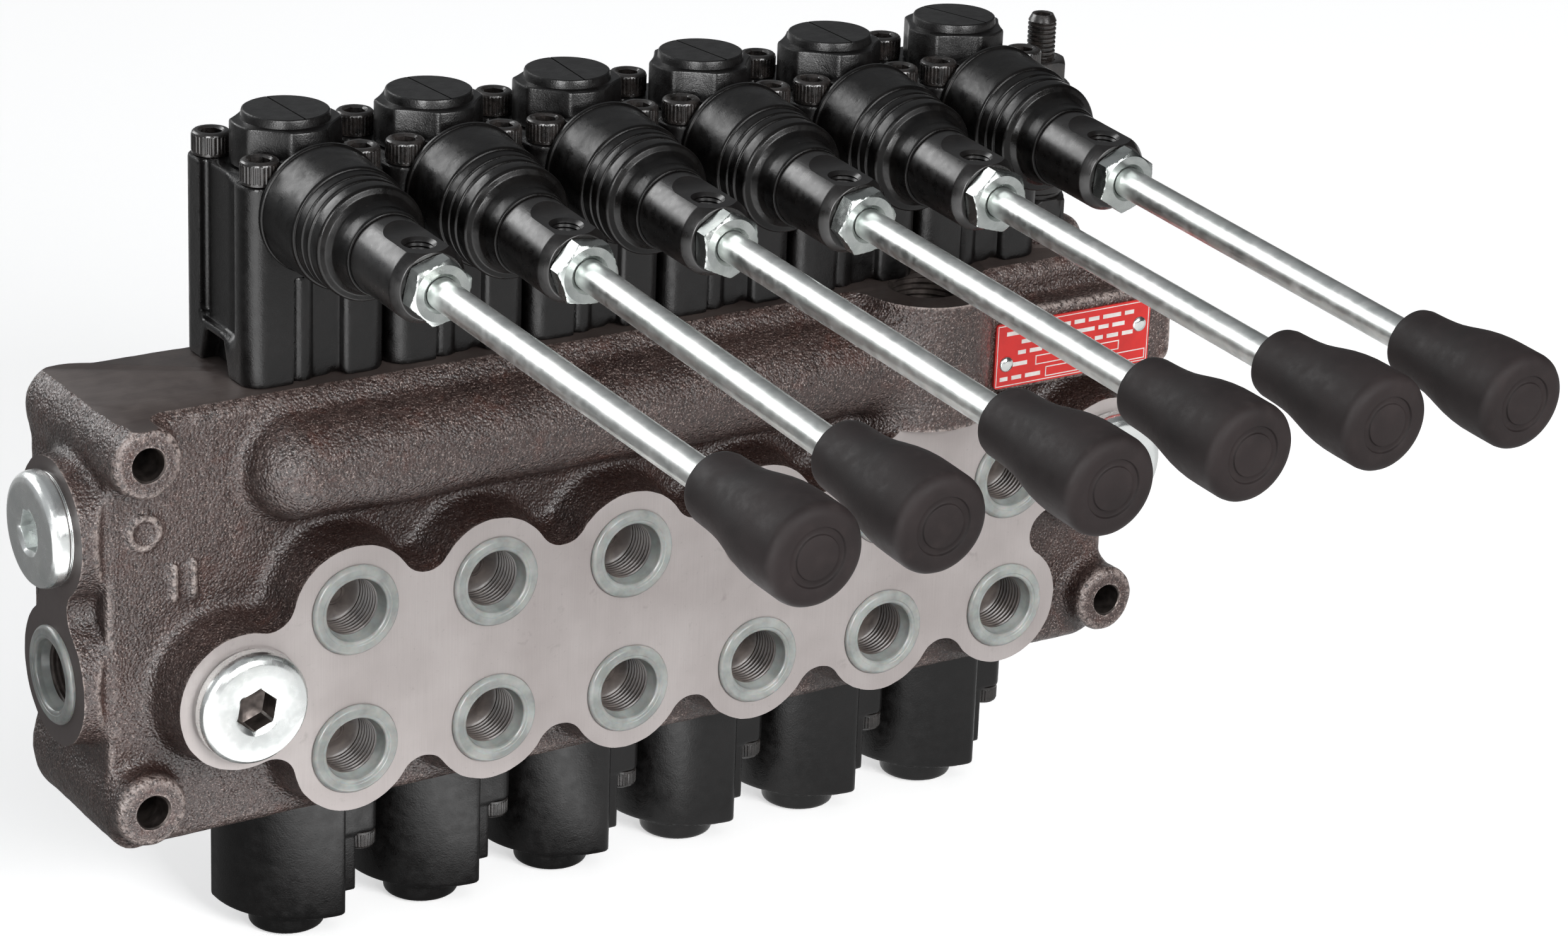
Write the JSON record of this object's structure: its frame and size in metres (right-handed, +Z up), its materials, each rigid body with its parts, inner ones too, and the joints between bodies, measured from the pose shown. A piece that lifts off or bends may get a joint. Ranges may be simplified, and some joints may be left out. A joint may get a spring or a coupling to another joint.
{
  "type": "hydraulic monoblock valve",
  "caption": "Cast one-piece hydraulic spool valve with hand levers in rubber boots, capped work ports on its front face, and spring caps below.",
  "frame": {"origin": "centre of the work-port pattern, on the machined port face", "axes": "+X along the row of sections, +Y into the body away from the port face, +Z up along the spools"},
  "size_m": [0.33, 0.2712, 0.223],
  "materials": {
    "cast_iron": "rough sand cast, dark oiled",
    "machined_face": "milled grey iron",
    "black_housing": "satin black",
    "black_steel": "black oxide",
    "zinc": "bright zinc plate",
    "steel": "ground steel",
    "rubber": "moulded black rubber",
    "grip_rubber": "matte moulded rubber",
    "cap_plastic": "translucent natural plastic",
    "red_plate": "red printed aluminium",
    "spring_steel": "spring wire"
  },
  "bodies": {
    "valve": {"valve_body": "cast_iron", "port_plugs": "cap_plastic", "gallery_plugs": "zinc", "load_check_plugs": "zinc", "nameplate": "red_plate", "nameplate_rivets": "zinc", "relief_valve": "black_steel", "relief_lock_nut": "black_steel", "relief_adjuster": "black_steel", "housing_caps": "black_housing", "spring_caps": "black_housing", "housing_screws": "black_steel", "spring_cap_screws": "black_steel", "centring_springs": "spring_steel", "spring_seats": "steel", "spool_seals": "rubber", "pivot_pins": "steel", "lever_housing_1": "black_housing", "lever_housing_2": "black_housing", "lever_housing_3": "black_housing", "lever_housing_4": "black_housing", "lever_housing_5": "black_housing", "lever_housing_6": "black_housing"},
    "lever_1": {"lever_holder_1": "black_steel", "lever_nut_1": "zinc", "lever_rod_1": "zinc", "lever_grip_1": "grip_rubber", "boot_1": "rubber"},
    "spool_1": {"spool_1": "steel"},
    "lever_2": {"lever_holder_2": "black_steel", "lever_nut_2": "zinc", "lever_rod_2": "zinc", "lever_grip_2": "grip_rubber", "boot_2": "rubber"},
    "spool_2": {"spool_2": "steel"},
    "lever_3": {"lever_holder_3": "black_steel", "lever_nut_3": "zinc", "lever_rod_3": "zinc", "lever_grip_3": "grip_rubber", "boot_3": "rubber"},
    "spool_3": {"spool_3": "steel"},
    "lever_4": {"lever_holder_4": "black_steel", "lever_nut_4": "zinc", "lever_rod_4": "zinc", "lever_grip_4": "grip_rubber", "boot_4": "rubber"},
    "spool_4": {"spool_4": "steel"},
    "lever_5": {"lever_holder_5": "black_steel", "lever_nut_5": "zinc", "lever_rod_5": "zinc", "lever_grip_5": "grip_rubber", "boot_5": "rubber"},
    "spool_5": {"spool_5": "steel"},
    "lever_6": {"lever_holder_6": "black_steel", "lever_nut_6": "zinc", "lever_rod_6": "zinc", "lever_grip_6": "grip_rubber", "boot_6": "rubber"},
    "spool_6": {"spool_6": "steel"}
  },
  "joints": [
    {"name": "lever_1_tilt", "type": "hinge", "parent": "valve", "child": "lever_1", "pos_m": [-0.1, 0.017, 0.1185], "axis": [1, 0, 0], "range_deg": [-16, 16]},
    {"name": "spool_1_slide", "type": "slide", "parent": "valve", "child": "spool_1", "axis": [0, 0, 1], "range_m": [-0.006, 0.006]},
    {"name": "lever_2_tilt", "type": "hinge", "parent": "valve", "child": "lever_2", "pos_m": [-0.06, 0.017, 0.1185], "axis": [1, 0, 0], "range_deg": [-16, 16]},
    {"name": "spool_2_slide", "type": "slide", "parent": "valve", "child": "spool_2", "axis": [0, 0, 1], "range_m": [-0.006, 0.006]},
    {"name": "lever_3_tilt", "type": "hinge", "parent": "valve", "child": "lever_3", "pos_m": [-0.02, 0.017, 0.1185], "axis": [1, 0, 0], "range_deg": [-16, 16]},
    {"name": "spool_3_slide", "type": "slide", "parent": "valve", "child": "spool_3", "axis": [0, 0, 1], "range_m": [-0.006, 0.006]},
    {"name": "lever_4_tilt", "type": "hinge", "parent": "valve", "child": "lever_4", "pos_m": [0.02, 0.017, 0.1185], "axis": [1, 0, 0], "range_deg": [-16, 16]},
    {"name": "spool_4_slide", "type": "slide", "parent": "valve", "child": "spool_4", "axis": [0, 0, 1], "range_m": [-0.006, 0.006]},
    {"name": "lever_5_tilt", "type": "hinge", "parent": "valve", "child": "lever_5", "pos_m": [0.06, 0.017, 0.1185], "axis": [1, 0, 0], "range_deg": [-16, 16]},
    {"name": "spool_5_slide", "type": "slide", "parent": "valve", "child": "spool_5", "axis": [0, 0, 1], "range_m": [-0.006, 0.006]},
    {"name": "lever_6_tilt", "type": "hinge", "parent": "valve", "child": "lever_6", "pos_m": [0.1, 0.017, 0.1185], "axis": [1, 0, 0], "range_deg": [-16, 16]},
    {"name": "spool_6_slide", "type": "slide", "parent": "valve", "child": "spool_6", "axis": [0, 0, 1], "range_m": [-0.006, 0.006]}
  ],
  "couplings": [
    {"joint": "spool_1_slide", "follows": "lever_1_tilt", "m_per_rad": 0.020713},
    {"joint": "spool_2_slide", "follows": "lever_2_tilt", "m_per_rad": 0.020713},
    {"joint": "spool_3_slide", "follows": "lever_3_tilt", "m_per_rad": 0.020713},
    {"joint": "spool_4_slide", "follows": "lever_4_tilt", "m_per_rad": 0.020713},
    {"joint": "spool_5_slide", "follows": "lever_5_tilt", "m_per_rad": 0.020713},
    {"joint": "spool_6_slide", "follows": "lever_6_tilt", "m_per_rad": 0.020713}
  ]
}
